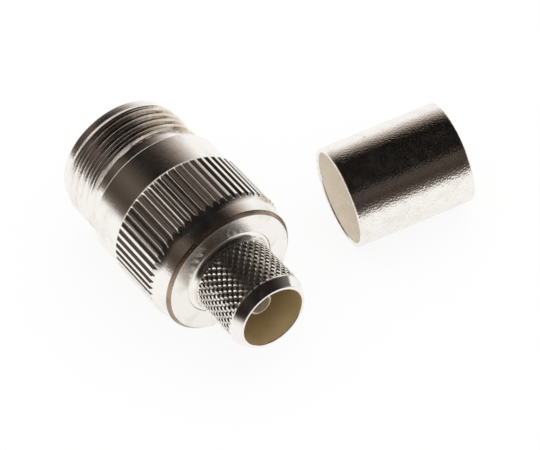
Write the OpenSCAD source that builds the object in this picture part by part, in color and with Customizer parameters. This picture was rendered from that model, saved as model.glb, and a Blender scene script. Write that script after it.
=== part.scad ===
// Crimp jack for coaxial cable, threaded coupling, with its crimp ferrule taken off.
// The connector lies on its knurled collar, with its axis along X: the coupling
// thread points to -X and the crimp spigot to +X. The origin is the centre of the
// reference plane, the shoulder deep in the mouth on which the plug's outer
// contact seats. Each turned piece is drawn as a half section, with its radius
// first and then its distance behind the mating face.

/* [Coupling thread] */
// Major diameter of the coupling thread
thread_d = 15.88; // [15.4:0.01:16.4]
// Distance from one thread crest to the next
thread_pitch = 1.058; // [0.8:0.001:1.15]
// Depth of the thread from crest to root
thread_depth = 0.54; // [0.3:0.01:0.6]
// Grooves of the thread behind its first crest
thread_turns = 4; // [2:1:4]
// Diameter of the plain nose in front of the thread
nose_d = 14.86; // [14:0.01:15.2]
// Length of the plain nose
nose_len = 1.2; // [0.8:0.01:1.6]
// Length from the mating face to the barrel
thread_reach = 8.3; // [8:0.01:9]
// Diameter of the smooth neck between the thread and the barrel
neck_d = 14.9; // [14:0.01:15.4]

/* [Body] */
// Diameter of the smooth barrel behind the thread
barrel_d = 17.12; // [16.5:0.01:17.3]
// Length of the smooth barrel
barrel_len = 4.45; // [3:0.01:6]
// Diameter over the crests of the knurled collar
collar_d = 17.76; // [17.5:0.01:19]
// Length of the knurled collar with its front bevel
collar_len = 7.25; // [5:0.01:9]
// Length of the bevel at the front of the collar
collar_bevel_len = 0.42; // [0.2:0.01:0.8]
// Length of the smooth land behind the knurl
land_len = 2.57; // [2:0.01:4]
// Diameter at the rear edge of the land
land_d = 16.7; // [16:0.01:17]
// Slope of the land where it leaves the knurl, in degrees
land_slope = 36; // [25:1:45]
// Bevel at the rear end of the body
rear_bevel = 0.43; // [0.2:0.01:0.7]

/* [Straight knurl] */
// Number of flutes round the collar
flute_count = 55; // [30:1:64]
// Width of a flute at the crests
flute_w = 0.62; // [0.3:0.01:0.8]
// Depth of a flute
flute_depth = 0.27; // [0.15:0.01:0.3]

/* [Coupling bore] */
// Diameter of the lead-in at the mating face
mouth_d = 10.4; // [9:0.01:12]
// Depth of the lead-in cone
mouth_len = 1.6; // [0.5:0.01:2.5]
// Bore that takes the plug's outer contact
plug_bore_d = 8.13; // [7.6:0.01:8.6]
// Depth of the reference plane behind the mating face
reference_depth = 9.1; // [8.6:0.01:9.6]
// Bore of the ring behind the reference plane
ring_d = 7; // [6:0.01:7.4]
// Length of the ring behind the reference plane
ring_len = 1.3; // [0.9:0.01:2]
// Bore that holds both insulators
insulator_d = 9.2; // [8.4:0.01:10]
// Seat bore for the crimp spigot
seat_d = 11.28; // [11.24:0.01:12]
// Depth of the seat bore
seat_len = 3.6; // [2.5:0.01:4.5]
// Edge break at the mouth of the seat bore
seat_edge = 0.08; // [0.02:0.01:0.2]

/* [Centre contact] */
// Diameter of the centre contact
contact_d = 3.04; // [2.8:0.01:3.4]
// Depth of the contact's tip behind the mating face
tip_depth = 3.9; // [3:0.01:5]
// Socket for the plug's pin
socket_d = 1.68; // [1.4:0.01:1.9]
// Depth of the socket
socket_depth = 5.2; // [4.5:0.01:6]
// Width of the slots between the contact's fingers
slot_w = 0.25; // [0.1:0.01:0.3]
// Length of the slots
slot_len = 4.4; // [3:0.01:4.4]
// Diameter of the stop ring that both insulators hold
stop_d = 4.6; // [4:0.01:5.5]
// Length of the stop ring
stop_len = 1.2; // [0.8:0.01:2]
// Hole in the rear end for the cable's conductor
pot_d = 2.34; // [1.8:0.01:2.6]
// Depth of that hole
pot_depth = 6; // [4:0.01:8]
// Depth of the contact's rear end behind the spigot's mouth
pot_recess = 2.4; // [1:0.01:4]

/* [Insulators] */
// Length of the front insulator behind the ring
front_insulator_len = 4; // [2.5:0.01:5]
// Depth of the front insulator's face behind the reference plane
insulator_recess = 0.5; // [0.1:0.01:0.8]

/* [Crimp spigot] */
// Outside diameter of the spigot, over the points of its knurl
spigot_d = 9.88; // [9.4:0.01:9.9]
// Bore of the spigot
spigot_bore_d = 7.84; // [7:0.01:7.9]
// Length of the spigot behind the body
spigot_reach = 8.5; // [7:0.01:14]
// Length of the taper at the spigot's mouth
spigot_taper_len = 1.2; // [0.9:0.01:2]
// Outside diameter at the spigot's mouth
spigot_mouth_d = 8.6; // [8.4:0.01:9.2]
// Depth of the diamond knurl's grooves below its points
diamond_depth = 0.2; // [0.1:0.01:0.24]
// Number of grooves of each hand round the spigot
diamond_count = 34; // [26:1:40]
// Angle between a groove and the spigot's axis
diamond_helix = 41; // [35:1:50]
// Radius of the fillet between the spigot's face and its tube
spigot_fillet = 0.55; // [0.2:0.01:0.55]
// Depth of the spigot's face below the body's rear face
spigot_inset = 0.1; // [0:0.01:0.3]

/* [Crimp ferrule] */
// Outside diameter of the ferrule
ferrule_d = 12.24; // [11.8:0.01:13]
// Bore of the ferrule
ferrule_bore_d = 11.1; // [10.5:0.01:11.4]
// Length of the ferrule
ferrule_len = 14.6; // [10:0.01:20]
// Radius of the ferrule's edges
ferrule_edge = 0.24; // [0.1:0.01:0.25]
// Distance of the ferrule's near end behind the mating face
ferrule_x = 20; // [16:0.1:30]
// Distance of the ferrule's near end beside the connector's axis
ferrule_y = 17; // [15.5:0.1:30]
// Angle from the connector's axis to the ferrule's axis
ferrule_turn = 79; // [60:1:120]

/* [Fits] */
// Radial clearance of a pressed piece in its seat
press_gap = 0.02; // [0.01:0.01:0.05]
// Radial clearance of the contact in the insulators
contact_gap = 0.03; // [0.01:0.01:0.08]

/* [Hidden] */

$fn = 96;
past = 1; // how far a cutting tool runs past the face that it opens
nickel = "silver";
ptfe = "white";

// Coupling thread, with crests and roots cut to flats
thread_r = thread_d / 2;
root_r = thread_r - thread_depth;
crest_flat = thread_pitch / 8;
flank = thread_depth * tan(30);
thread_start = nose_len + (thread_d - nose_d) / 2;
thread_end = thread_start + thread_turns * thread_pitch + crest_flat;

// Stations along the body, from the mating face
collar_start = thread_reach + barrel_len;
knurl_end = collar_start + collar_len;
land_end = knurl_end + land_len;
shell_len = land_end + rear_bevel;
land_cove_slope = 4;
cove_drop = 0.8 * (collar_d - land_d) / 2;
cove_r = cove_drop / (cos(land_cove_slope) - cos(land_slope));
flute_root_r = collar_d / 2 - flute_depth;

// Stations inside the body
ring_end = reference_depth + ring_len;
seat_start = shell_len - seat_len;
stop_start = ring_end + front_insulator_len;
stop_end = stop_start + stop_len;

// Stations along the spigot
spigot_face = shell_len - spigot_inset;
spigot_mouth = shell_len + spigot_reach;
taper_start = spigot_mouth - spigot_taper_len;
mouth_edge = 0.12;
flange_edge = 0.05;

// Diamond knurl: the grooves cross in rows, and the points stand between the crossings.
// Its first and last rows lie under the fillet and the taper, where the grooves run out.
row_pitch = PI * (spigot_d / 2) / (diamond_count * tan(diamond_helix));
diamond_start = spigot_face + spigot_fillet - row_pitch / 2;
diamond_end = taper_start + 0.75 * row_pitch;
row_count = max(4, round((diamond_end - diamond_start) / row_pitch));
row_step = (diamond_end - diamond_start) / row_count;
valley_r = spigot_d / 2 - diamond_depth;
core_r = (spigot_bore_d / 2 + valley_r) / 2;
knurl_shoulder = 0.9 * row_step; // from the sunk ring to the smooth tube's edge

// Stations along the centre contact
pot_end = spigot_mouth - pot_recess;
tip_edge = 0.2;

// Points of an arc about a centre, from one angle to another
function arc(centre, r, from, to, steps = 8) =
    [for (i = [0:steps]) centre + r * [cos(from + (to - from) * i / steps),
        sin(from + (to - from) * i / steps)]];

// Turns a half section about the connector's axis
module turned() {
    translate([-reference_depth, 0, 0])
        rotate([0, 90, 0])
            rotate_extrude() children();
}

// Outline of the thread: one groove behind each crest
function thread_outline() = [for (i = [0:thread_turns - 1])
    let (s = thread_start + crest_flat + i * thread_pitch)
    each [[thread_r, s], [root_r, s + flank],
        [root_r, s + thread_pitch - crest_flat - flank],
        [thread_r, s + thread_pitch - crest_flat]]];

// Outside of the body, from the mating face to the rear face
module shell_outside() {
    nose_edge = 0.2;
    cove_start = [collar_d / 2 + cove_r * cos(land_slope), knurl_end + cove_r * sin(land_slope)];
    polygon(concat(
        [[0, 0]],
        arc([nose_d / 2 - nose_edge, nose_edge], nose_edge, -90, 0, 4),
        [[nose_d / 2, nose_len], [thread_r, thread_start]],
        thread_outline(),
        [[thread_r, thread_end], [neck_d / 2, thread_end + thread_r - neck_d / 2]],
        [[neck_d / 2, thread_reach], [barrel_d / 2, thread_reach]],
        [[barrel_d / 2, collar_start], [collar_d / 2, collar_start + collar_bevel_len]],
        arc(cove_start, cove_r, 180 + land_slope, 180 + land_cove_slope),
        [[land_d / 2, land_end], [land_d / 2 - rear_bevel, shell_len], [0, shell_len]]));
}

// Lead-in, plug bore, ring, insulator bore and spigot seat
module shell_inside() {
    polygon([[0, -past], [mouth_d / 2, -past], [mouth_d / 2, 0],
        [plug_bore_d / 2, mouth_len], [plug_bore_d / 2, reference_depth],
        [ring_d / 2, reference_depth], [ring_d / 2, ring_end],
        [insulator_d / 2, ring_end], [insulator_d / 2, seat_start],
        [seat_d / 2, seat_start], [seat_d / 2, shell_len - seat_edge],
        [seat_d / 2 + seat_edge, shell_len], [seat_d / 2 + seat_edge, shell_len + past],
        [0, shell_len + past]]);
}

// V-shaped flutes along the collar, which run out on the land's slope
module flutes() {
    reach = 1.5; // the cutter stands this much taller than the flute
    half_w = reach * flute_w / 2;
    for (i = [0:flute_count - 1])
        rotate([i * 360 / flute_count, 0, 0])
            translate([collar_start - reference_depth, 0, -flute_root_r])
                rotate([0, 90, 0])
                    linear_extrude(height = collar_len + land_len / 2)
                        polygon([[0, 0], [reach * flute_depth, -half_w],
                            [reach * flute_depth, half_w]]);
}

module jack_shell() {
    color(nickel) difference() {
        turned() difference() {
            shell_outside();
            shell_inside();
        }
        flutes();
    }
}

// Bead against the ring, with a nose that stands in the ring's bore
module front_insulator() {
    hole_r = contact_d / 2 + contact_gap;
    face = reference_depth + insulator_recess;
    color(ptfe) turned()
        polygon([[hole_r, face], [ring_d / 2 - press_gap, face],
            [ring_d / 2 - press_gap, ring_end], [insulator_d / 2 - press_gap, ring_end],
            [insulator_d / 2 - press_gap, stop_start], [hole_r, stop_start]]);
}

// Bead between the contact's stop ring and the spigot
module rear_insulator() {
    hole_r = contact_d / 2 + contact_gap;
    color(ptfe) turned()
        polygon([[hole_r, stop_end], [insulator_d / 2 - press_gap, stop_end],
            [insulator_d / 2 - press_gap, seat_start], [hole_r, seat_start]]);
}

// Half section of the contact: fingers with a socket, stop ring and rear pot
module contact_section() {
    socket_lead = 0.15;
    drill_tip = 0.5;
    polygon([[socket_d / 2 + socket_lead, tip_depth], [contact_d / 2 - tip_edge, tip_depth],
        [contact_d / 2, tip_depth + tip_edge], [contact_d / 2, stop_start],
        [stop_d / 2, stop_start], [stop_d / 2, stop_end], [contact_d / 2, stop_end],
        [contact_d / 2, pot_end - tip_edge], [contact_d / 2 - tip_edge, pot_end],
        [pot_d / 2, pot_end], [pot_d / 2, pot_end - pot_depth],
        [0, pot_end - pot_depth - drill_tip], [0, tip_depth + socket_depth + drill_tip],
        [socket_d / 2, tip_depth + socket_depth], [socket_d / 2, tip_depth + socket_lead]]);
}

module centre_contact() {
    color(nickel) difference() {
        turned() contact_section();
        for (turn = [0, 90])
            rotate([turn, 0, 0])
                translate([tip_depth - past - reference_depth, -contact_d, -slot_w / 2])
                    cube([slot_len + past, 2 * contact_d, slot_w]);
    }
}

// Flange pressed in the body, fillet, core under the knurl and tapered mouth
module spigot_section() {
    tube_r = spigot_d / 2;
    bore_r = spigot_bore_d / 2;
    mouth_r = spigot_mouth_d / 2;
    fillet_centre = [tube_r + spigot_fillet, spigot_face + spigot_fillet];
    polygon(concat(
        [[bore_r, seat_start], [seat_d / 2 - press_gap, seat_start]],
        [[seat_d / 2 - press_gap, spigot_face - flange_edge]],
        [[seat_d / 2 - press_gap - flange_edge, spigot_face]],
        arc(fillet_centre, spigot_fillet, 270, 180, 6),
        [[tube_r, diamond_start + knurl_shoulder], [core_r, diamond_start + knurl_shoulder]],
        [[core_r, diamond_end - knurl_shoulder], [tube_r, diamond_end - knurl_shoulder]],
        [[tube_r, taper_start]],
        arc([mouth_r - mouth_edge, spigot_mouth - mouth_edge], mouth_edge, 0, 90, 4),
        arc([bore_r + mouth_edge, spigot_mouth - mouth_edge], mouth_edge, 90, 180, 4)));
}

// Sleeve of four-sided points between crossing grooves. Its first and last rings lie
// in the tube's wall, and so does its bore.
module diamond_knurl() {
    columns = 2 * diamond_count;
    sunk_r = (core_r + spigot_d / 2) / 2;
    bore_r = (core_r + spigot_bore_d / 2) / 2;
    function ring(r, s) = [for (q = [0:columns - 1])
        [r * cos(q * 360 / columns), r * sin(q * 360 / columns), s]];
    function row(m) = let (s = diamond_start + m * row_step) [for (q = [0:columns - 1])
        let (r = (q + m) % 2 == 0 ? valley_r : spigot_d / 2, a = q * 360 / columns)
        [r * cos(a), r * sin(a), s]];
    points = concat(
        ring(sunk_r, diamond_start), [for (m = [1:row_count - 1]) each row(m)],
        ring(sunk_r, diamond_end), ring(bore_r, diamond_end), ring(bore_r, diamond_start));
    rings = row_count + 3;
    // Each cell is split along the groove that crosses it
    faces = [for (m = [0:rings - 1], q = [0:columns - 1])
        let (n = (q + 1) % columns, above = (m + 1) % rings,
            a = m * columns + q, b = m * columns + n,
            c = above * columns + n, d = above * columns + q)
        each (q + m) % 2 == 0 ? [[a, d, c], [a, c, b]] : [[a, d, b], [b, d, c]]];
    polyhedron(points, faces);
}

module crimp_spigot() {
    color(nickel) {
        turned() spigot_section();
        translate([-reference_depth, 0, 0]) rotate([0, 90, 0]) diamond_knurl();
    }
}

// Plain tube with rounded edges, lying on the surface that the collar lies on
module crimp_ferrule() {
    outer_r = ferrule_d / 2;
    bore_r = ferrule_bore_d / 2;
    color(nickel)
        translate([ferrule_x - reference_depth, ferrule_y, outer_r - collar_d / 2])
            rotate([0, 90, ferrule_turn])
                rotate_extrude()
                    polygon(concat(
                        arc([bore_r + ferrule_edge, ferrule_edge], ferrule_edge, 180, 270, 4),
                        arc([outer_r - ferrule_edge, ferrule_edge], ferrule_edge, 270, 360, 4),
                        arc([outer_r - ferrule_edge, ferrule_len - ferrule_edge], ferrule_edge,
                            0, 90, 4),
                        arc([bore_r + ferrule_edge, ferrule_len - ferrule_edge], ferrule_edge,
                            90, 180, 4)));
}

jack_shell();
front_insulator();
rear_insulator();
centre_contact();
crimp_spigot();
crimp_ferrule();
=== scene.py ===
import math
import bmesh
import bpy
from mathutils import Matrix, Vector


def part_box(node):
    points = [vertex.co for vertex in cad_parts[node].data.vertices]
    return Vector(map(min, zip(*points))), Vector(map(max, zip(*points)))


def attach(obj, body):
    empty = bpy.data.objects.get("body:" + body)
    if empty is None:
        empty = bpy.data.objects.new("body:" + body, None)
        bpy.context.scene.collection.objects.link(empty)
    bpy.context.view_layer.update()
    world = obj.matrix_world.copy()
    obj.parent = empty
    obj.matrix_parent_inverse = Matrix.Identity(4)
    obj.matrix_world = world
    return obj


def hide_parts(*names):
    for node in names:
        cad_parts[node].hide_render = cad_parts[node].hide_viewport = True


bl_info = {
    "name": "Coaxial crimp jack",
    "version": (1, 0, 0),
    "blender": (4, 5, 0),
    "location": "3D View > Sidebar > Crimp Jack",
    "description": "Thread, knurls and finishes of a threaded coaxial crimp jack and its ferrule",
    "category": "Object",
}

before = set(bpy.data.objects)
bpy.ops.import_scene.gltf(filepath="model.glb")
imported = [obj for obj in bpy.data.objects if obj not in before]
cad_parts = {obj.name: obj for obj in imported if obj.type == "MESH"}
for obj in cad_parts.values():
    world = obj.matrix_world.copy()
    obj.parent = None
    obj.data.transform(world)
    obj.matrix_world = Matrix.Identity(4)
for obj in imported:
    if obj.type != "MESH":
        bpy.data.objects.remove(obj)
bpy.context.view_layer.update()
MM = 0.001

# The frame has its origin at the reference plane, on the axis, and -X out of the mouth.
# Depths are measured from the mating face at the mouth, back along the axis.
BODY_LOW, BODY_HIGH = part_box("jack_shell")
_, SPIGOT_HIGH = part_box("crimp_spigot")
FERRULE_LOW, FERRULE_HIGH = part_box("crimp_ferrule")
MATING_FACE_X = BODY_LOW.x
BODY_LENGTH = BODY_HIGH.x - BODY_LOW.x
WHOLE_LENGTH = SPIGOT_HIGH.x - BODY_LOW.x
COLLAR_R = BODY_HIGH.z
FERRULE_R = (FERRULE_HIGH.z - FERRULE_LOW.z) / 2
TABLE_Z = min(BODY_LOW.z, FERRULE_LOW.z)


def length(name, description, default_mm):
    """A length that a user may change, given here in millimetres."""
    return bpy.props.FloatProperty(
        name=name, description=description, default=default_mm * MM,
        unit="LENGTH", precision=5, min=0.0)


def colour(name, description, default):
    """A colour that a user may change."""
    return bpy.props.FloatVectorProperty(
        name=name, description=description, default=default,
        subtype="COLOR", size=3, min=0.0, max=1.0)


class ThreadSizes(bpy.types.PropertyGroup):
    """Coupling thread, nose and neck of the body."""
    crest_d: length("Major diameter", "Diameter over the thread's crests", 15.88)
    pitch: length("Pitch", "Distance from one crest to the next", 1.058)
    first_crest: length("First crest", "Depth of a whole crest at the top of the body", 2.66)
    nose_d: length("Nose diameter", "Diameter of the plain nose", 14.86)
    nose_len: length("Nose length", "Length of the plain nose", 1.02)
    nose_bevel: length("Nose bevel", "Length of the bevel between nose and thread", 0.7)
    end: length("Thread end", "Depth at which the crests end", 6.06)
    neck_d: length("Neck diameter", "Diameter of the smooth neck", 14.9)
    depth: length("Thread depth", "Depth of the thread below its crests", 0.38)
    barrel_start: length("Barrel start", "Depth of the barrel's front face", 8.3)


class CollarSizes(bpy.types.PropertyGroup):
    """Barrel, knurled collar, land and rear end of the body."""
    barrel_d: length("Barrel diameter", "Diameter of the smooth barrel", 17.12)
    start: length("Collar start", "Depth of the collar's front bevel", 12.75)
    knurl_end: length("Knurl end", "Depth at which the knurl's crests end", 20.0)
    land_d: length("Land diameter", "Diameter at the land's rear edge", 16.7)
    front_bevel: length("Front bevel", "Length of the bevel in front of the knurl", 0.42)
    edge: length("Front edge", "Length of the bevel at the barrel's front edge", 0.14)
    bevel: length("Rear bevel", "Bevel at the rear end of the body", 0.43)
    flute_w: length("Flute width", "Width of a flute at the crests", 0.62)
    flute_depth: length("Flute depth", "Depth of a flute", 0.27)
    flutes: bpy.props.IntProperty(
        name="Flutes", description="Number of flutes round the collar", default=55, min=12)
    land_slope: bpy.props.FloatProperty(
        name="Land slope", description="Slope of the land where it leaves the knurl",
        default=math.radians(36), subtype="ANGLE")


class BoreSizes(bpy.types.PropertyGroup):
    """Stepped bore of the body."""
    mouth_d: length("Mouth", "Diameter of the lead-in", 10.4)
    mouth_len: length("Lead-in length", "Depth of the lead-in cone", 1.6)
    plug_d: length("Plug bore", "Bore for the plug's outer contact", 8.13)
    ring_d: length("Ring bore", "Bore of the ring behind the reference plane", 7.0)
    ring_len: length("Ring length", "Length of that ring", 1.3)
    insulator_d: length("Insulator bore", "Bore that holds the insulators", 9.2)
    seat_d: length("Seat bore", "Bore that the spigot is pressed into", 11.28)
    seat_len: length("Seat depth", "Depth of that bore", 3.6)


class SpigotSizes(bpy.types.PropertyGroup):
    """Crimp spigot with its diamond knurl."""
    tube_d: length("Tube diameter", "Diameter over the points of the knurl", 9.88)
    mouth_d: length("Mouth diameter", "Outside diameter at the mouth", 8.6)
    bore_d: length("Bore", "Bore of the spigot", 7.84)
    groove_depth: length("Groove depth", "Depth of the knurl's grooves", 0.2)
    taper_len: length("Taper", "Length of the taper at the mouth", 1.2)
    plain_len: length("Plain band", "Smooth band between knurl and taper", 0.08)
    cove_len: length("Cove length", "Length of the cove between the face and the tube", 0.82)
    cove_rise: length("Cove rise", "Height of the cove at the face", 0.58)
    inset: length("Inset", "Depth of the face below the body's rear face", 0.1)
    starts: bpy.props.IntProperty(
        name="Starts", description="Grooves of each hand round the spigot", default=34, min=8)
    groove_part: bpy.props.FloatProperty(
        name="Groove part", description="Half of a groove's width, as a part of the pitch",
        default=0.3, min=0.1, max=0.5)
    twist: bpy.props.FloatProperty(
        name="Twist", description="Turn of a groove for each metre of length, in radians",
        default=179.0)


class FerruleSizes(bpy.types.PropertyGroup):
    """Plain crimp ferrule. Its length, place and outside come from the frame."""
    bore_d: length("Bore", "Bore of the ferrule", 11.1)
    edge: length("Edge radius", "Radius of the rounded edges at both ends", 0.24)


class FinishColours(bpy.types.PropertyGroup):
    """Colours of the plating, the bores, the insulators and the marks on them."""
    nickel: colour("Nickel", "Bright plating of the body and spigot", (0.93, 0.90, 0.86))
    nickel_dull: colour("Dull nickel", "Handled patches of the plating", (0.80, 0.74, 0.67))
    # Darker, browner colour in random patches on the thread, stronger towards +Y
    thread_brown: colour("Thread stain", "Dull film left in the thread", (0.66, 0.56, 0.45))
    # Rear bevel: partly the thin plating's own brown, partly painted shade for the dark room that
    # the bevel mirrors
    bevel: colour("Rear bevel", "Thinly plated, rough bevel at the rear", (0.40, 0.31, 0.23))
    bore: colour("Bore", "Thinly plated bore of the spigot", (0.78, 0.63, 0.36))
    ferrule: colour("Ferrule", "Satin plating of the ferrule", (0.94, 0.91, 0.87))
    ferrule_bore: colour("Ferrule bore", "Inside of the ferrule", (0.97, 0.90, 0.78))
    contact: colour("Contact", "Plating of the centre contact", (0.86, 0.78, 0.60))
    insulator: colour("Insulator", "White bead material", (0.90, 0.90, 0.87))
    insulator_cloud: colour("Insulator clouds", "Darker clouds in it", (0.83, 0.82, 0.77))
    pit: colour("Pits", "Small pits in turned metal", (0.10, 0.08, 0.06))
    rubbed: colour("Rubbed plating", "Rubbed spots of the ferrule", (0.55, 0.49, 0.41))
    mark: colour("Marks", "Small dark marks on the ferrule", (0.16, 0.12, 0.09))


class StageSettings(bpy.types.PropertyGroup):
    """Camera, floor and lamp."""
    azimuth: bpy.props.FloatProperty(
        name="Camera azimuth", description="Direction of the camera round +Z",
        default=math.radians(-29.34), subtype="ANGLE")
    elevation: bpy.props.FloatProperty(
        name="Camera elevation", description="Height of the camera over the table",
        default=math.radians(50.0), subtype="ANGLE")
    roll: bpy.props.FloatProperty(
        name="Camera roll", description="Turn of the camera about its own axis",
        default=math.radians(-7.79), subtype="ANGLE")
    distance: length("Camera distance", "Distance from the camera to its aim", 400.0)
    aim: bpy.props.FloatVectorProperty(
        name="Camera aim", description="Point that the camera looks at",
        default=(10.18 * MM, 8.04 * MM, -1.42 * MM), subtype="XYZ", size=3, precision=5)
    lens: bpy.props.FloatProperty(
        name="Lens", description="Focal length in millimetres", default=233.83,
        unit="CAMERA")
    paper: colour("Paper", "Floor and background", (1.0, 1.0, 1.0))
    # Painted dark reflection: what metal mirrors of the white floor towards +X and -Y
    painted_reflection_dark: colour("Dark paper", "What metal mirrors of the floor's dim end",
                       (0.16, 0.11, 0.07))
    lamp_watts: bpy.props.FloatProperty(
        name="Lamp", description="Power of the soft lamp", default=0.25, unit="POWER")


def settings(name):
    """The property group that holds this script's sizes or colours."""
    return getattr(bpy.context.scene, name)


# ---------------------------------------------------------------- meshes

# Faces that meet at more than this are shaded apart
SHARP_ANGLE = math.radians(25)


def full_circle(columns):
    """Angles of a ring of points, from the top of the object towards +Y."""
    return [2 * math.pi * i / columns for i in range(columns)]


def arc(s, r, radius, start, end, steps):
    """Points (s, r) of an arc about a centre, with angles in degrees from the s axis."""
    angles = [math.radians(start + (end - start) * i / steps) for i in range(steps + 1)]
    return [(s + radius * math.cos(a), r + radius * math.sin(a)) for a in angles]


class TurnedMesh:
    """Rings of points about one axis, joined one after another into a closed skin.

    A point is given by its depth s along the axis, its radius and its angle.
    """

    def __init__(self, name):
        self.name = name
        self.points = []
        self.faces = []
        self.slots = []
        self.slot = 0
        self.last = None

    def point(self, s, r, angle):
        self.points.append((s, r * math.sin(angle), r * math.cos(angle)))
        return len(self.points) - 1

    def face(self, corners):
        """Adds a face, without the corners that fall together."""
        kept = []
        for c in corners:
            if c not in kept:
                kept.append(c)
        if len(kept) > 2:
            self.faces.append(kept)
            self.slots.append(self.slot)

    def ring(self, s, radius, angles):
        """Adds a ring and joins it to the ring before. The radius may follow the angle."""
        r = radius if callable(radius) else lambda a: radius
        new = ([self.point(s, r(a), a) for a in angles], angles)
        if self.last is not None:
            self.join(self.last, new)
        self.last = new
        return new

    def rings(self, outline, angles):
        """Adds one plain ring for each point (s, r) of an outline."""
        for s, r in outline:
            self.ring(s, r, angles)

    def join(self, a, b):
        """Skins the band between two rings, whose numbers of points may differ."""
        ids_a, ang_a = a
        ids_b, ang_b = b
        n, m = len(ids_a), len(ids_b)
        if n == m:
            for i in range(n):
                j = (i + 1) % n
                self.face([ids_a[i], ids_a[j], ids_b[j], ids_b[i]])
            return
        i = j = 0
        while i < n or j < m:
            next_a = ang_a[i + 1] if i + 1 < n else 2 * math.pi + ang_a[0]
            next_b = ang_b[j + 1] if j + 1 < m else 2 * math.pi + ang_b[0]
            if j >= m or (i < n and next_a <= next_b):
                self.face([ids_a[i % n], ids_a[(i + 1) % n], ids_b[j % m]])
                i += 1
            else:
                self.face([ids_a[i % n], ids_b[(j + 1) % m], ids_b[j % m]])
                j += 1

    def close(self, first):
        """Joins the last ring to the first, so that the skin has no edge."""
        self.join(self.last, first)

    def build(self, place, materials):
        """Makes the object. place turns the mesh's axis, +X, to where the piece lies."""
        mesh = bpy.data.meshes.new(self.name)
        mesh.from_pydata([place @ Vector(p) for p in self.points], [], self.faces)
        for m in materials:
            mesh.materials.append(m)
        mesh.polygons.foreach_set("material_index", self.slots)
        mesh.polygons.foreach_set("use_smooth", [True] * len(self.faces))
        mesh.update()
        fix_normals(mesh)
        mesh.set_sharp_from_angle(angle=SHARP_ANGLE)
        piece = bpy.data.objects.new(self.name, mesh)
        bpy.context.scene.collection.objects.link(piece)
        return piece


def fix_normals(mesh):
    """Turns every face of a skin outward, and raises an error if the skin is open."""
    bm = bmesh.new()
    bm.from_mesh(mesh)
    bmesh.ops.recalc_face_normals(bm, faces=bm.faces)
    loose = [e for e in bm.edges if not e.is_manifold]
    volume = bm.calc_volume(signed=True)
    if volume < 0:
        bmesh.ops.reverse_faces(bm, faces=bm.faces)
    bm.to_mesh(mesh)
    bm.free()
    if loose:
        raise RuntimeError(f"{mesh.name} has {len(loose)} open edges")


def on_axis():
    """Places a mesh with depth measured from the mating face on the connector's axis."""
    return Matrix.Translation((MATING_FACE_X, 0, 0))


# Columns of points round the outside of the pieces and round the body's bore
ROUND = 240
BORE_ROUND = 120

# Rounding at the front of the nose and the edge breaks elsewhere: on the steps of the
# bore, where the spigot is seated, and on the spigot's mouth
NOSE_EDGE = 0.2 * MM
BORE_EDGE = 0.05 * MM
SEAT_EDGE = 0.08 * MM
SPIGOT_LIP = 0.12 * MM

# Steps of a rounding on the nose and on the spigot's lip, and on the ferrule's edges
ROUNDING_STEPS = 5
FERRULE_STEPS = 6

# Rise of the barrel's front bevel for its length
BARREL_EDGE_RISE = 0.577

# Widths of the strips between an edge and the ring beside it, which keep it crisp
NARROW = 0.03 * MM
STRIP = 0.04 * MM
CREST_STRIP = 0.05 * MM

# Thread form, as parts of the pitch from the middle of a crest: where the flank
# begins, where it ends at the root, half of the rounding at both corners, and where
# the flank has rows of points between them
CREST_PART = 0.22
ROOT_PART = 0.43
CORNER_PART = 0.02
FLANK_PARTS = [0.29, 0.33, 0.37]

# Stretch over which the first groove deepens, stretch from the last crest down to
# the neck, and how much the blank's radius drops there for its length
RUN_IN = 0.5 * MM
RUN_OUT = 0.45 * MM
RUN_OUT_SLOPE = 1.4


def thread_form(turn):
    """Depth of the thread, 0 at the crest and 1 at the root, with rounded corners."""
    part = abs(turn - round(turn))
    slope = 1 / (ROOT_PART - CREST_PART)
    if part <= CREST_PART - CORNER_PART:
        return 0.0
    if part < CREST_PART + CORNER_PART:
        return slope * (part - CREST_PART + CORNER_PART) ** 2 / (4 * CORNER_PART)
    if part > ROOT_PART + CORNER_PART:
        return 1.0
    if part > ROOT_PART - CORNER_PART:
        return 1 - slope * (ROOT_PART + CORNER_PART - part) ** 2 / (4 * CORNER_PART)
    return slope * (part - CREST_PART)


def thread_rows():
    """Parts of a turn at which the thread has rows of points, closer at its corners."""
    crest_corner = [CREST_PART - CORNER_PART, CREST_PART, CREST_PART + CORNER_PART]
    root_corner = [ROOT_PART - CORNER_PART, ROOT_PART, ROOT_PART + CORNER_PART]
    half = [0.0, 0.1] + crest_corner + FLANK_PARTS + root_corner
    return half + [0.5] + [1 - p for p in reversed(half[1:])]


def smooth(value, low, high):
    """0 below low, 1 above high and a smooth rise between."""
    t = min(1.0, max(0.0, (value - low) / (high - low)))
    return t * t * (3 - 2 * t)


def thread_blank(t, s):
    """Radius of the turned blank that the thread is cut on."""
    crest, neck = t.crest_d / 2, t.neck_d / 2
    return crest if s <= t.end else max(neck, crest - RUN_OUT_SLOPE * (s - t.end))


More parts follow.
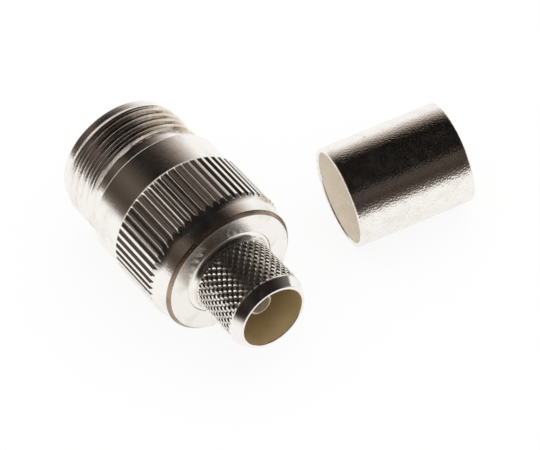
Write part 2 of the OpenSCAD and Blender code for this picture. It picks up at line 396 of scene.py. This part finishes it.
def add_thread(skin, t):
    """Skins the nose's bevel and the helical thread up to a ring on the neck.

    Rows of points follow the helix, so that crest and root stay crisp. Gives back the
    ring at the nose's rear edge, on which the skin closes at the end.
    """
    crest, neck = t.crest_d / 2, t.neck_d / 2
    start, stop = t.nose_len + t.nose_bevel, t.end + RUN_OUT
    angles = full_circle(ROUND)
    nose_ring = skin.ring(t.nose_len, t.nose_d / 2, angles)
    first = skin.ring(start, crest, angles)
    skin.last = None
    last = skin.ring(stop, neck, angles)
    parts = thread_rows()
    turns_before = math.ceil((t.first_crest - start) / t.pitch) + 1
    turns = math.ceil((stop - start) / t.pitch) + 3
    rows = [(k - turns_before + p) for k in range(turns) for p in parts]
    known = {}
    tiny = 1e-9

    def at(row, column):
        """The point in a row and column. One turn on, the helix is a pitch further."""
        if column == ROUND:
            row, column = row - len(parts), 0
        if row < 0:
            return first[0][column]
        if row >= len(rows):
            return last[0][column]
        key = (row, column)
        if key in known:
            return known[key]
        turn = rows[row]
        s = t.first_crest + t.pitch * (turn - column / ROUND)
        if s <= start + tiny:
            known[key] = first[0][column]
        elif s >= stop - tiny:
            known[key] = last[0][column]
        else:
            blank = thread_blank(t, s)
            run_in = smooth(s, start, start + RUN_IN)
            cut = crest - t.depth * run_in * thread_form(turn)
            r = max(min(blank, cut), min(blank, neck))
            known[key] = skin.point(s, r, angles[column])
        return known[key]

    for row in range(-1, len(rows)):
        for column in range(ROUND):
            skin.face([at(row, column), at(row, column + 1),
                       at(row + 1, column + 1), at(row + 1, column)])
    skin.last = last
    return nose_ring


# Softening of a flute's root and edges, and the column just outside its edge, as
# parts of the flutes' pitch
FLUTE_SOFT = 0.03
FLUTE_RIM = 0.025


def flute_pitch(c):
    """Angle from one flute to the next, and half of a flute as a part of it."""
    pitch = 2 * math.pi / c.flutes
    return pitch, c.flute_w / (2 * COLLAR_R) / pitch


def flute_columns(c):
    """Angles of the collar's columns, set at the crests, flanks and roots of the flutes."""
    pitch, half = flute_pitch(c)
    side = [FLUTE_SOFT, half / 2, half - FLUTE_SOFT, half, half + FLUTE_RIM, (0.5 + half) / 2]
    parts = [-0.5] + [-p for p in reversed(side)] + [0.0] + side
    return [pitch * (i + 0.5 + p) for i in range(c.flutes) for p in parts]


def flute_radius(c, angle):
    """Radius of the fluted collar at an angle, with softened crests and roots."""
    pitch, half = flute_pitch(c)
    part = abs((angle / pitch) % 1.0 - 0.5)
    soft = FLUTE_SOFT
    if part >= half + soft:
        return COLLAR_R
    deep = min(1.0, max(0.0, 1 - part / half))
    if part > half - soft:
        deep = (half + soft - part) ** 2 / (4 * soft * half)
    if part < soft:
        deep = 1 - (part ** 2 + soft ** 2) / (2 * soft * half)
    return COLLAR_R - c.flute_depth * deep


# The hollow slope behind the knurl: its slope at its end, its part of the land's
# whole drop, and its steps. Behind it comes the slow taper, with its rise for its
# length at the rear edge. The front bevel has its own steps
HOLLOW_END_SLOPE = math.radians(4)
HOLLOW_PART = 0.8
HOLLOW_STEPS = 24
END_TAPER = 0.1
FRONT_BEVEL_STEPS = 12

# The last stretch of the knurl's crests before the slope, and how far below the roots
# of the flutes the land still has the collar's columns
LAST_CREST = 0.5 * MM
BELOW_ROOT = 0.02 * MM


def land_outline(c):
    """Outline (s, r) of the land behind the knurl: a hollow slope and a slow taper."""
    slope = c.land_slope
    drop = HOLLOW_PART * (COLLAR_R - c.land_d / 2)
    radius = drop / (math.cos(HOLLOW_END_SLOPE) - math.cos(slope))
    points = []
    for i in range(HOLLOW_STEPS + 1):
        a = slope + (HOLLOW_END_SLOPE - slope) * i / HOLLOW_STEPS
        points.append((c.knurl_end + radius * (math.sin(slope) - math.sin(a)),
                       COLLAR_R - radius * (math.cos(a) - math.cos(slope))))
    land_end = BODY_LENGTH - c.bevel
    return points + [(land_end - STRIP, c.land_d / 2 + END_TAPER * STRIP)]


def add_collar(skin, c):
    """Skins the knurled collar and the part of the land that its flutes run out on.

    Gives back the rest of the land's outline, which is plain.
    """
    angles = flute_columns(c)
    barrel = c.barrel_d / 2
    rise = COLLAR_R - barrel
    steps = FRONT_BEVEL_STEPS
    stations = [(c.start + c.front_bevel * i / steps, barrel + rise * i / steps)
                for i in range(steps + 1)]
    stations += [(c.start + c.front_bevel + CREST_STRIP, COLLAR_R),
                 (c.knurl_end - LAST_CREST, COLLAR_R)]
    land = land_outline(c)
    root = COLLAR_R - c.flute_depth
    fluted = [p for p in land if p[1] > root - BELOW_ROOT]
    for s, blank in stations + fluted:
        skin.ring(s, lambda a: min(blank, flute_radius(c, a)), angles)
    return [p for p in land if p not in fluted]


def make_body(t, c, b):
    """The whole turned body as one closed skin, from the nose round into the bore.

    Its finishes are the plating (0), the rear bevel (1) and the rear face (2).
    """
    skin = TurnedMesh("coupling_body")
    outside, inside = full_circle(ROUND), full_circle(BORE_ROUND)
    nose_ring = add_thread(skin, t)
    barrel = c.barrel_d / 2
    barrel_full = t.barrel_start + c.edge
    skin.rings(
        [(t.barrel_start, t.neck_d / 2), (t.barrel_start, barrel - BARREL_EDGE_RISE * c.edge),
         (barrel_full, barrel), (barrel_full + STRIP, barrel),
         (c.start - NARROW, barrel)], outside)
    rest_of_land = add_collar(skin, c)
    rear_r = c.land_d / 2
    bevel_foot = rear_r - c.bevel
    skin.rings(rest_of_land + [(BODY_LENGTH - c.bevel, rear_r)], outside)
    skin.slot = 1
    skin.rings([(BODY_LENGTH - NARROW, bevel_foot + NARROW)], outside)
    skin.slot = 2
    skin.rings([(BODY_LENGTH, bevel_foot - NARROW)], outside)
    seat, seat_start = b.seat_d / 2, BODY_LENGTH - b.seat_len
    skin.rings([(BODY_LENGTH, seat + SEAT_EDGE)], inside)
    skin.slot = 0
    reference = -MATING_FACE_X
    ring_end = reference + b.ring_len
    skin.rings(
        [(BODY_LENGTH - SEAT_EDGE, seat), (seat_start, seat), (seat_start, b.insulator_d / 2),
         (ring_end, b.insulator_d / 2), (ring_end, b.ring_d / 2),
         (reference + BORE_EDGE, b.ring_d / 2), (reference, b.ring_d / 2 + BORE_EDGE),
         (reference, b.plug_d / 2), (b.mouth_len, b.plug_d / 2), (BORE_EDGE, b.mouth_d / 2),
         (0.0, b.mouth_d / 2 + BORE_EDGE)], inside)
    nose = t.nose_d / 2
    skin.rings([(0.0, nose - NOSE_EDGE)], outside)
    rounding = arc(NOSE_EDGE, nose - NOSE_EDGE, NOSE_EDGE, 180, 90, ROUNDING_STEPS)
    skin.rings(rounding[1:], outside)
    skin.close(nose_ring)
    return skin


# Cells of the grid from one groove of the diamond knurl to the next, and how fast the
# grooves deepen from both ends, in whole depths for that distance
PER_GROOVE = 16
FADE = 3

# Room between the spigot's flange and its seat
FLANGE_ROOM = 0.02 * MM


def knurl_drop(g, angle, along):
    """Depth of the diamond knurl below its points: two crossing sets of V grooves."""
    deepest = 0.0
    for hand in (-1, 1):
        turn = g.starts * (angle + hand * g.twist * along) / (2 * math.pi)
        deepest = max(deepest, 1 - abs(turn - round(turn)) / g.groove_part)
    return g.groove_depth * deepest


def add_diamonds(skin, g, start, stop):
    """Skins the diamond knurl on the tube.

    Rows and columns are spaced so that grooves and ridges run along the diagonals of
    the grid, and each cell is split along the diagonal that lies nearer to the surface.
    """
    columns = g.starts * PER_GROOVE
    angles = full_circle(columns)
    step = 2 * math.pi / (g.starts * g.twist * PER_GROOVE)
    count = int((stop - start) / step)
    tube = g.tube_d / 2
    before = skin.ring(start, tube, angles)
    for i in range(1, count + 1):
        along = i * step
        fade = min(1.0, FADE * i / PER_GROOVE, FADE * (count - i) / PER_GROOVE)
        skin.last = None
        now = skin.ring(
            start + along, lambda a: tube - fade * knurl_drop(g, a, along), angles)
        for k in range(columns):
            n = (k + 1) % columns
            cell = [before[0][k], before[0][n], now[0][n], now[0][k]]
            r = [math.hypot(*skin.points[v][1:]) for v in cell]
            centre = tube - fade * knurl_drop(
                g, angles[k] + math.pi / columns, along - step / 2)
            first = abs(r[0] + r[2] - 2 * centre) <= abs(r[1] + r[3] - 2 * centre)
            split = [(0, 1, 2), (0, 2, 3)] if first else [(0, 1, 3), (1, 2, 3)]
            for corners in split:
                skin.face([cell[q] for q in corners])
        before = now
    skin.last = before


def make_spigot(g, b):
    """The crimp spigot as one closed skin, with its bore in its own finish (1)."""
    skin = TurnedMesh("crimp_spigot_knurled")
    around = full_circle(ROUND)
    face, seat_start = BODY_LENGTH - g.inset, BODY_LENGTH - b.seat_len
    flange = b.seat_d / 2 - FLANGE_ROOM
    tube, bore, outer = g.tube_d / 2, g.bore_d / 2, g.mouth_d / 2
    first = skin.ring(seat_start, bore, around)
    skin.rings([(seat_start, flange), (face - SEAT_EDGE, flange),
                (face, flange - SEAT_EDGE)], around)
    turns = [math.radians(10 * i) for i in range(10)]
    skin.rings([(face + g.cove_len * (1 - math.cos(a)), tube + g.cove_rise * (1 - math.sin(a)))
                for a in turns], around)
    taper_start = WHOLE_LENGTH - g.taper_len
    add_diamonds(skin, g, face + g.cove_len + NARROW, taper_start - g.plain_len)
    lip = SPIGOT_LIP
    lip_start = WHOLE_LENGTH - lip
    skin.rings([(taper_start, tube), (lip_start, outer)], around)
    skin.rings(arc(lip_start, outer - lip, lip, 90, 0, ROUNDING_STEPS), around)
    skin.rings(arc(lip_start, bore + lip, lip, 0, -90, ROUNDING_STEPS), around)
    skin.slot = 1
    skin.close(first)
    return skin


def make_ferrule(f):
    """The ferrule as one closed skin, with rounded edges and its bore in its own finish (1).

    Gives back the skin and the matrix that puts it where its solid lies.
    """
    skin = TurnedMesh("ferrule_tube")
    around = full_circle(ROUND)
    outer, bore, edge = FERRULE_R, f.bore_d / 2, f.edge
    bands, steps = 10, FERRULE_STEPS
    turn, long = ferrule_lie()
    first = skin.ring(edge, outer, around)
    skin.rings([(edge + (long - 2 * edge) * i / bands, outer)
                for i in range(1, bands + 1)], around)
    skin.rings(arc(long - edge, outer - edge, edge, 90, 0, steps)[1:], around)
    skin.rings(arc(long - edge, bore + edge, edge, 0, -90, steps)[1:], around)
    skin.slot = 1
    skin.rings([(edge, bore)], around)
    skin.slot = 0
    skin.rings(arc(edge, bore + edge, edge, 270, 180, steps)[1:], around)
    skin.rings(arc(edge, outer - edge, edge, 180, 90, steps)[1:-1], around)
    skin.close(first)
    centre = (FERRULE_LOW + FERRULE_HIGH) / 2
    start = centre - Vector((math.cos(turn), math.sin(turn), 0)) * long / 2
    return skin, Matrix.Translation(start) @ Matrix.Rotation(turn, 4, "Z")


# The ferrule's axis lies between these angles from +X, and the interval is halved
# this many times
FERRULE_ANGLES = (math.radians(50), math.radians(89.9))
HALVINGS = 60


def ferrule_lie():
    """Angle of the ferrule's axis from +X and its length, from the sides of its box.

    For a tube of length l and diameter d, span_x = l cos a + d sin a and
    span_y = l sin a + d cos a, so the angle follows by halving the interval.
    """
    span_x = FERRULE_HIGH.x - FERRULE_LOW.x
    span_y = FERRULE_HIGH.y - FERRULE_LOW.y
    d = 2 * FERRULE_R
    low, high = FERRULE_ANGLES
    for _ in range(HALVINGS):
        a = (low + high) / 2
        long = (span_y - d * math.cos(a)) / math.sin(a)
        if long * math.cos(a) + d * math.sin(a) > span_x:
            low = a
        else:
            high = a
    turn = (low + high) / 2
    return turn, (span_y - d * math.cos(turn)) / math.sin(turn)


# ---------------------------------------------------------------- materials

class Wire:
    """A shader socket that can be written in a sum. Each sign adds one Math node."""

    def __init__(self, shader, socket):
        self.shader = shader
        self.socket = socket

    def _math(self, operation, *values):
        return self.shader.node(
            "ShaderNodeMath", {"operation": operation}, dict(enumerate(values)))

    def __add__(self, other):
        return self._math("ADD", self, other)

    def __radd__(self, other):
        return self._math("ADD", other, self)

    def __sub__(self, other):
        return self._math("SUBTRACT", self, other)

    def __rsub__(self, other):
        return self._math("SUBTRACT", other, self)

    def __mul__(self, other):
        return self._math("MULTIPLY", self, other)

    def __rmul__(self, other):
        return self._math("MULTIPLY", other, self)

    def __truediv__(self, other):
        return self._math("DIVIDE", self, other)

    def __rtruediv__(self, other):
        return self._math("DIVIDE", other, self)

    def root(self):
        """The square root."""
        return self._math("SQRT", self)

    def above(self, low, high):
        """0 below low, 1 above high and a smooth rise between."""
        return self.shader.node(
            "ShaderNodeMapRange", {"interpolation_type": "SMOOTHSTEP"},
            {"Value": self, "From Min": low, "From Max": high, "To Min": 0.0, "To Max": 1.0})


class Shader:
    """A node tree under construction, with one method for all its nodes."""

    def __init__(self, tree):
        self.tree = tree
        tree.nodes.clear()

    def node(self, kind, settings=None, inputs=None, output=0):
        """Adds a node, sets what it is, then its sockets, and gives back one output."""
        node = self.tree.nodes.new(kind)
        for name, value in (settings or {}).items():
            if name == "stops":
                self.set_stops(node.color_ramp, value)
            else:
                setattr(node, name, value)
        for key, value in (inputs or {}).items():
            if isinstance(value, Wire):
                self.tree.links.new(value.socket, node.inputs[key])
            else:
                node.inputs[key].default_value = value
        return Wire(self, node.outputs[output]) if node.outputs else None

    @staticmethod
    def set_stops(ramp, stops):
        while len(ramp.elements) < len(stops):
            ramp.elements.new(1.0)
        for element, (place, value) in zip(ramp.elements, stops):
            element.position = place
            element.color = value

    def coordinates(self):
        """Object coordinates. The pieces keep the frame's origin, so these are metres."""
        return self.node("ShaderNodeTexCoord", output="Object")

    def split(self, vector):
        parts = self.node("ShaderNodeSeparateXYZ", inputs={0: vector}).socket.node
        return [Wire(self, parts.outputs[i]) for i in range(3)]

    def vector(self, x, y, z):
        return self.node("ShaderNodeCombineXYZ", inputs={0: x, 1: y, 2: z})

    def noise(self, vector, scale, detail, roughness):
        return self.node(
            "ShaderNodeTexNoise", inputs={"Vector": vector, "Scale": scale,
                                          "Detail": detail, "Roughness": roughness})

    def tool_lines(self, x, y, z, scale, detail, roughness):
        """Noise that runs in rings round the connector's axis, as a tool leaves it."""
        radius = (y * y + z * z).root()
        return self.noise(self.vector(x, radius, 0.0), scale, detail, roughness)

    def mix(self, factor, a, b):
        """A blend of two colours."""
        return self.node(
            "ShaderNodeMix", {"data_type": "RGBA"}, {0: factor, 6: a, 7: b}, output=2)

    def bump(self, height, strength, distance):
        return self.node(
            "ShaderNodeBump", inputs={"Height": height, "Strength": strength,
                                      "Distance": distance})

    def surface(self, inputs):
        """Ends the material in one Principled shader."""
        bsdf = self.node("ShaderNodeBsdfPrincipled", inputs=inputs)
        self.node("ShaderNodeOutputMaterial", inputs={"Surface": bsdf})


def new_shader(name):
    material = bpy.data.materials.new(name)
    material.use_nodes = True
    return material, Shader(material.node_tree)


def rgba(colour_value):
    return (*colour_value, 1.0)


def darker(colour_value, part):
    """A colour at a part of its brightness."""
    return [part * v for v in colour_value]


# Turned metal. Scales of its noise, in waves for a metre
TOOL_LINES = 26000.0
PATCHES = 420.0
FINE_GRAIN = 6000.0
PITTING = 3300.0
# Values of the patches between which wear and the thread's browner patches grow from none to full
WORN = (0.48, 0.72)
BROWNED = (0.3, 0.62)
# How sharply a pit begins, in values of its noise
PIT_EDGE = 0.05
# Depth at which the thread's browner patches begin, the stretch over which they fade at both
# ends, and the places along Y between which they grow
BROWN_START = 1.8 * MM
BROWN_FADE = 0.5 * MM
BROWN_SIDE = (-5.0 * MM, 3.0 * MM)
TURNED_RELIEF = 0.012 * MM


def turned_metal(name, bright, dull, *, roughness, grain, specks, metallic=1.0, thread_brown=None):
    """Plated turned metal: fine tool lines round the axis, handled patches and pits.

    roughness is that of clean plating, grain the strength of the relief, and specks
    the noise value above which there are pits. thread_brown is (start, end, colour),
    with places along X, for darker, browner patches that grow towards +Y.
    """
    material, s = new_shader(name)
    pit = settings("jack_finish").pit
    place = s.coordinates()
    x, y, z = s.split(place)
    lines = s.tool_lines(x, y, z, TOOL_LINES, 2.0, 0.6)
    patches = s.noise(place, PATCHES, 3.0, 0.55)
    fine = s.noise(place, FINE_GRAIN, 1.0, 0.6)
    pits = s.noise(place, PITTING, 1.0, 0.4).above(specks, specks + PIT_EDGE)
    worn = patches.above(*WORN)
    base = s.mix(worn * 0.55, rgba(bright), rgba(dull))
    # Darker, browner colour in random patches between two depths, growing towards +Y
    if thread_brown:
        start, end, brown = thread_brown
        browned = x.above(start, start + BROWN_FADE) - x.above(end, end + BROWN_FADE)
        browned = browned * patches.above(*BROWNED) * y.above(*BROWN_SIDE)
        base = s.mix(browned, base, rgba(brown))
    base = s.mix(pits * 0.75, base, rgba(pit))
    height = lines * 0.6 + fine * 1.2 - pits * 1.5
    s.surface({
        "Base Color": base,
        "Metallic": metallic,
        "Roughness": roughness + worn * 0.07 + (fine - 0.5) * 0.06 + pits * 0.3,
        "Normal": s.bump(height, grain, TURNED_RELIEF),
    })
    return material


# Satin tube. Scales of its noise, in waves for a metre
RUBBING = 700.0
SATIN_GRAIN = 5200.0
SATIN_SPECKS = 8500.0
DARK_MARKS = 1500.0
# Values of the noise between which rubbing, specks and marks grow from none to full
RUBBED = (0.45, 0.7)
SPECKED = (0.5, 0.72)
MARKED = (0.74, 0.80)
SATIN_RELIEF = 0.025 * MM


def satin_tube(name, bright, *, roughness, grain, metallic=1.0):
    """Drawn and barrel-plated tube: an even satin grain with small dark marks.

    roughness is that of clean plating, and grain the strength of the relief.
    """
    material, s = new_shader(name)
    c = settings("jack_finish")
    place = s.coordinates()
    worn = s.noise(place, RUBBING, 3.0, 0.6).above(*RUBBED)
    grains = s.noise(place, SATIN_GRAIN, 0.0, 0.5)
    specks = s.noise(place, SATIN_SPECKS, 0.0, 0.5).above(*SPECKED)
    marks = s.noise(place, DARK_MARKS, 2.0, 0.5).above(*MARKED)
    base = s.mix(worn * 0.15 + specks * 0.3, rgba(bright), rgba(c.rubbed))
    base = s.mix(marks * 0.7, base, rgba(c.mark))
    s.surface({
        "Base Color": base,
        "Metallic": metallic,
        "Roughness": roughness + worn * 0.06 + (grains - 0.5) * 0.12 + marks * 0.2,
        "Normal": s.bump(grains - marks * 0.8, grain, SATIN_RELIEF),
    })
    return material


# White bead. Scales of its noise, in waves for a metre, and its clouds' range
BEAD_LINES = 9000.0
BEAD_CLOUDS = 900.0
CLOUDED = (0.4, 0.7)
BEAD_RELIEF = 0.01 * MM


def bead_plastic(name, white, clouded):
    """White bead material with a waxy sheen and faint tool lines."""
    material, s = new_shader(name)
    place = s.coordinates()
    x, y, z = s.split(place)
    lines = s.tool_lines(x, y, z, BEAD_LINES, 1.0, 0.5)
    cloud = s.noise(place, BEAD_CLOUDS, 2.0, 0.5)
    s.surface({
        "Base Color": s.mix(cloud.above(*CLOUDED), rgba(white), rgba(clouded)),
        "Roughness": 0.38 + cloud * 0.15,
        "Normal": s.bump(lines, 0.25, BEAD_RELIEF),
    })
    return material


# Where the paper's painted dark reflection grows: the direction in which it does, that of the
# camera's azimuth, the stretch along it in metres, and how far it goes towards the dark colour
DIM_X, DIM_Y = 0.87, -0.49
DIM_STRETCH = (0.03, 0.12)
DIM_PART = 0.85
# Part of the paper that glows where it is seen. The rest takes light and shadow
GLOW = 0.88


def paper_floor(paper, dark):
    """White paper. It shows white to the camera and keeps a faint shadow.

    What the metal mirrors of it fades to a painted dark reflection towards +X and -Y.
    """
    material, s = new_shader("paper")
    path = s.node("ShaderNodeLightPath").socket.node
    camera, glossy, through = [
        Wire(s, path.outputs[f"Is {kind} Ray"]) for kind in ("Camera", "Glossy", "Transmission")]
    seen = camera + glossy + through
    x, y, _ = s.split(s.coordinates())
    # Painted dark reflection, seen only by mirrored rays
    dim = (x * DIM_X + y * DIM_Y).above(*DIM_STRETCH)
    shown = s.mix(dim * glossy * DIM_PART, rgba(paper), rgba(dark))
    diffuse = s.node("ShaderNodeBsdfDiffuse", inputs={"Color": rgba(darker(paper, 0.92))})
    glow = s.node("ShaderNodeEmission", inputs={"Color": shown, "Strength": 1.0})
    mixed = s.node("ShaderNodeMixShader", inputs={0: seen * GLOW, 1: diffuse, 2: glow})
    s.node("ShaderNodeOutputMaterial", inputs={"Surface": mixed})
    return material


# Brightness of the surroundings by height, for the bright side, +Y and some way round
# to -X, and for the dim side. Each stop is (z of the direction, brightness).
BRIGHT_SIDE = [(0.12, 1.0), (0.36, 0.60), (0.57, 0.19), (0.70, 0.045), (0.78, 0.004)]
DIM_SIDE = [(-0.20, 1.0), (0.03, 0.25), (0.15, 0.13), (0.32, 0.05), (0.52, 0.09),
            (0.68, 0.12), (0.78, 0.014), (0.85, 0.005)]
ROOM_TINT = (1.0, 0.76, 0.60)
# The two sides meet where y - LEAN x is between these values
LEAN = 0.5
SIDES_MEET = (0.0, 0.3)
# The unlit part of the room: the x at which it begins, the x at which it weakens again
# and by how much, the z at which it begins, its share and its brightness
UNLIT_FROM = (-0.35, 0.05)
UNLIT_WEAKENS = (0.55, 0.85)
UNLIT_LOSS = 0.6
UNLIT_ABOVE = (-0.12, 0.08)
UNLIT_SHARE = 0.85
UNLIT_TONE = 0.006


def tinted(brightness):
    """A grey that turns to the room's warm tint as it darkens."""
    return [brightness * (brightness + (1 - brightness) * t) for t in ROOM_TINT] + [1.0]


def studio_world():
    """What plated metal mirrors, by direction. To all else the surroundings are white.

    There is white low down, a pale sweep that fades upward on the bright side and a
    dim room on the other. An unlit part lies over both on the +X half, above the table.
    """
    world = bpy.data.worlds.new("studio")
    bpy.context.scene.world = world
    world.use_nodes = True
    s = Shader(world.node_tree)
    x, y, z = s.split(s.node("ShaderNodeTexCoord", output="Generated"))
    path = s.node("ShaderNodeLightPath").socket.node
    glossy = Wire(s, path.outputs["Is Glossy Ray"])
    ramps = []
    for stops in (BRIGHT_SIDE, DIM_SIDE):
        places = [((height + 1) / 2, tinted(value)) for height, value in stops]
        ramps.append(s.node("ShaderNodeValToRGB", {"stops": places}, {"Fac": (z + 1.0) / 2.0}))
    bright_side, dim_side = ramps
    mirrored = s.mix((y - x * LEAN).above(*SIDES_MEET), dim_side, bright_side)
    unlit = x.above(*UNLIT_FROM) - x.above(*UNLIT_WEAKENS) * UNLIT_LOSS
    unlit = unlit * z.above(*UNLIT_ABOVE)
    mirrored = s.mix(unlit * UNLIT_SHARE, mirrored, tinted(UNLIT_TONE))
    colour_seen = s.mix(glossy, (1.0, 1.0, 1.0, 1.0), mirrored)
    background = s.node("ShaderNodeBackground", inputs={"Color": colour_seen, "Strength": 1.0})
    s.node("ShaderNodeOutputWorld", inputs={"Surface": background})


# ---------------------------------------------------------------- operators

# Half of the floor's side, and the lamp's side and place, in metres
FLOOR_HALF = 1.5
LAMP_SIDE = 0.3
LAMP_PLACE = (0.05, 0.1, 0.35)
SENSOR_MM = 36.0


class CRIMPJACK_OT_stage(bpy.types.Operator):
    """Sets the paper floor, the surroundings, a soft lamp and the camera"""
    bl_idname = "crimpjack.stage"
    bl_label = "Stage"

    def execute(self, context):
        view = settings("jack_stage")
        studio_world()
        half = FLOOR_HALF
        mesh = bpy.data.meshes.new("paper_floor")
        mesh.from_pydata([(-half, -half, TABLE_Z), (half, -half, TABLE_Z),
                          (half, half, TABLE_Z), (-half, half, TABLE_Z)], [], [(0, 1, 2, 3)])
        mesh.materials.append(paper_floor(view.paper, view.painted_reflection_dark))
        floor = bpy.data.objects.new("paper_floor", mesh)
        context.scene.collection.objects.link(floor)
        self.add_lamp(context, view)
        self.add_camera(context, view)
        context.scene.view_settings.view_transform = "Standard"
        return {"FINISHED"}

    def add_lamp(self, context, view):
        """A large soft lamp overhead, which the metal doesn't mirror."""
        light = bpy.data.lights.new("soft_lamp", "AREA")
        light.shape = "SQUARE"
        light.size = LAMP_SIDE
        light.energy = view.lamp_watts
        lamp = bpy.data.objects.new("soft_lamp", light)
        lamp.location = LAMP_PLACE
        lamp.rotation_euler = (-lamp.location).to_track_quat("-Z", "Y").to_euler()
        lamp.visible_glossy = False
        context.scene.collection.objects.link(lamp)

    def add_camera(self, context, view):
        data = bpy.data.cameras.new("camera")
        data.lens = view.lens
        data.sensor_width = SENSOR_MM
        data.clip_start = 0.01
        camera = bpy.data.objects.new("camera", data)
        flat = math.cos(view.elevation)
        towards = Vector((flat * math.cos(view.azimuth), flat * math.sin(view.azimuth),
                          math.sin(view.elevation)))
        turn = (-towards).to_track_quat("-Z", "Y").to_matrix().to_4x4()
        turn = turn @ Matrix.Rotation(view.roll, 4, "Z")
        camera.matrix_world = Matrix.Translation(Vector(view.aim) + towards * view.distance) @ turn
        context.scene.collection.objects.link(camera)
        context.scene.camera = camera


def dress(piece, node):
    """Lets a new piece stand for a solid and ride on the object's one body."""
    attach(piece, "root")
    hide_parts(node)


class CRIMPJACK_OT_body(bpy.types.Operator):
    """Makes the turned body with its helical thread, knurled collar and stepped bore"""
    bl_idname = "crimpjack.body"
    bl_label = "Body"

    def execute(self, context):
        c = settings("jack_finish")
        thread = settings("jack_thread")
        thread_brown = (MATING_FACE_X + BROWN_START, MATING_FACE_X + thread.end, c.thread_brown)
        metal = turned_metal("bright_nickel", c.nickel, c.nickel_dull,
                             roughness=0.10, grain=0.9, specks=0.8, thread_brown=thread_brown)
        # The rear bevel's dark brown is partly its own tone and partly painted shade
        bevel = turned_metal("bevel_tone_and_painted_shade", c.bevel, darker(c.bevel, 0.5),
                             roughness=0.15, grain=0.6, specks=0.66)
        face = turned_metal("rear_face", c.nickel, c.nickel_dull,
                            roughness=0.2, grain=0.6, specks=0.78)
        skin = make_body(thread, settings("jack_collar"), settings("jack_bore"))
        dress(skin.build(on_axis(), [metal, bevel, face]), "jack_shell")
        return {"FINISHED"}


class CRIMPJACK_OT_spigot(bpy.types.Operator):
    """Makes the crimp spigot with its diamond knurl"""
    bl_idname = "crimpjack.spigot"
    bl_label = "Crimp spigot"

    def execute(self, context):
        c = settings("jack_finish")
        metal = turned_metal("spigot_nickel", c.nickel, c.nickel_dull,
                             roughness=0.13, grain=0.4, specks=0.8)
        inside = turned_metal("spigot_bore", c.bore, darker(c.bore, 0.8),
                              roughness=0.4, grain=0.6, specks=0.8, metallic=0.7)
        skin = make_spigot(settings("jack_spigot"), settings("jack_bore"))
        dress(skin.build(on_axis(), [metal, inside]), "crimp_spigot")
        return {"FINISHED"}


class CRIMPJACK_OT_ferrule(bpy.types.Operator):
    """Makes the plain crimp ferrule that lies beside the connector"""
    bl_idname = "crimpjack.ferrule"
    bl_label = "Crimp ferrule"

    def execute(self, context):
        c = settings("jack_finish")
        outside = satin_tube("ferrule_satin", c.ferrule, roughness=0.10, grain=1.0)
        inside = satin_tube("ferrule_inside", c.ferrule_bore,
                            roughness=0.4, grain=0.5, metallic=0.1)
        skin, place = make_ferrule(settings("jack_ferrule"))
        dress(skin.build(place, [outside, inside]), "crimp_ferrule")
        return {"FINISHED"}


class CRIMPJACK_OT_inner_pieces(bpy.types.Operator):
    """Finishes the centre contact and both insulators"""
    bl_idname = "crimpjack.inner_pieces"
    bl_label = "Contact and insulators"

    def execute(self, context):
        c = settings("jack_finish")
        contact = turned_metal("contact_plating", c.contact, darker(c.contact, 0.8),
                               roughness=0.25, grain=0.4, specks=0.76, metallic=0.6)
        bead = bead_plastic("insulator_white", c.insulator, c.insulator_cloud)
        for name, material in [("centre_contact", contact), ("front_insulator", bead),
                               ("rear_insulator", bead)]:
            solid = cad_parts[name]
            for slot in solid.material_slots:
                slot.material = material
        return {"FINISHED"}


class CRIMPJACK_PT_panel(bpy.types.Panel):
    """Lists the pieces of the connector and their sizes"""
    bl_idname = "CRIMPJACK_PT_panel"
    bl_label = "Crimp Jack"
    bl_space_type = "VIEW_3D"
    bl_region_type = "UI"
    bl_category = "Crimp Jack"

    def draw(self, context):
        layout = self.layout
        for operator in OPERATORS:
            layout.operator(operator.bl_idname)
        for name in GROUPS:
            group = settings(name)
            box = layout.box()
            for key in group.__annotations__:
                box.prop(group, key)


GROUPS = {
    "jack_thread": ThreadSizes,
    "jack_collar": CollarSizes,
    "jack_bore": BoreSizes,
    "jack_spigot": SpigotSizes,
    "jack_ferrule": FerruleSizes,
    "jack_finish": FinishColours,
    "jack_stage": StageSettings,
}
OPERATORS = [CRIMPJACK_OT_stage, CRIMPJACK_OT_body, CRIMPJACK_OT_spigot,
             CRIMPJACK_OT_ferrule, CRIMPJACK_OT_inner_pieces]


def register():
    for cls in list(GROUPS.values()) + OPERATORS + [CRIMPJACK_PT_panel]:
        bpy.utils.register_class(cls)
    for name, cls in GROUPS.items():
        setattr(bpy.types.Scene, name, bpy.props.PointerProperty(type=cls))


def unregister():
    for name in GROUPS:
        delattr(bpy.types.Scene, name)
    for cls in [CRIMPJACK_PT_panel] + OPERATORS[::-1] + list(GROUPS.values())[::-1]:
        bpy.utils.unregister_class(cls)


def main():
    """Makes every piece."""
    register()
    bpy.ops.crimpjack.stage()
    bpy.ops.crimpjack.body()
    bpy.ops.crimpjack.spigot()
    bpy.ops.crimpjack.ferrule()
    bpy.ops.crimpjack.inner_pieces()


if __name__ == "__main__":
    main()
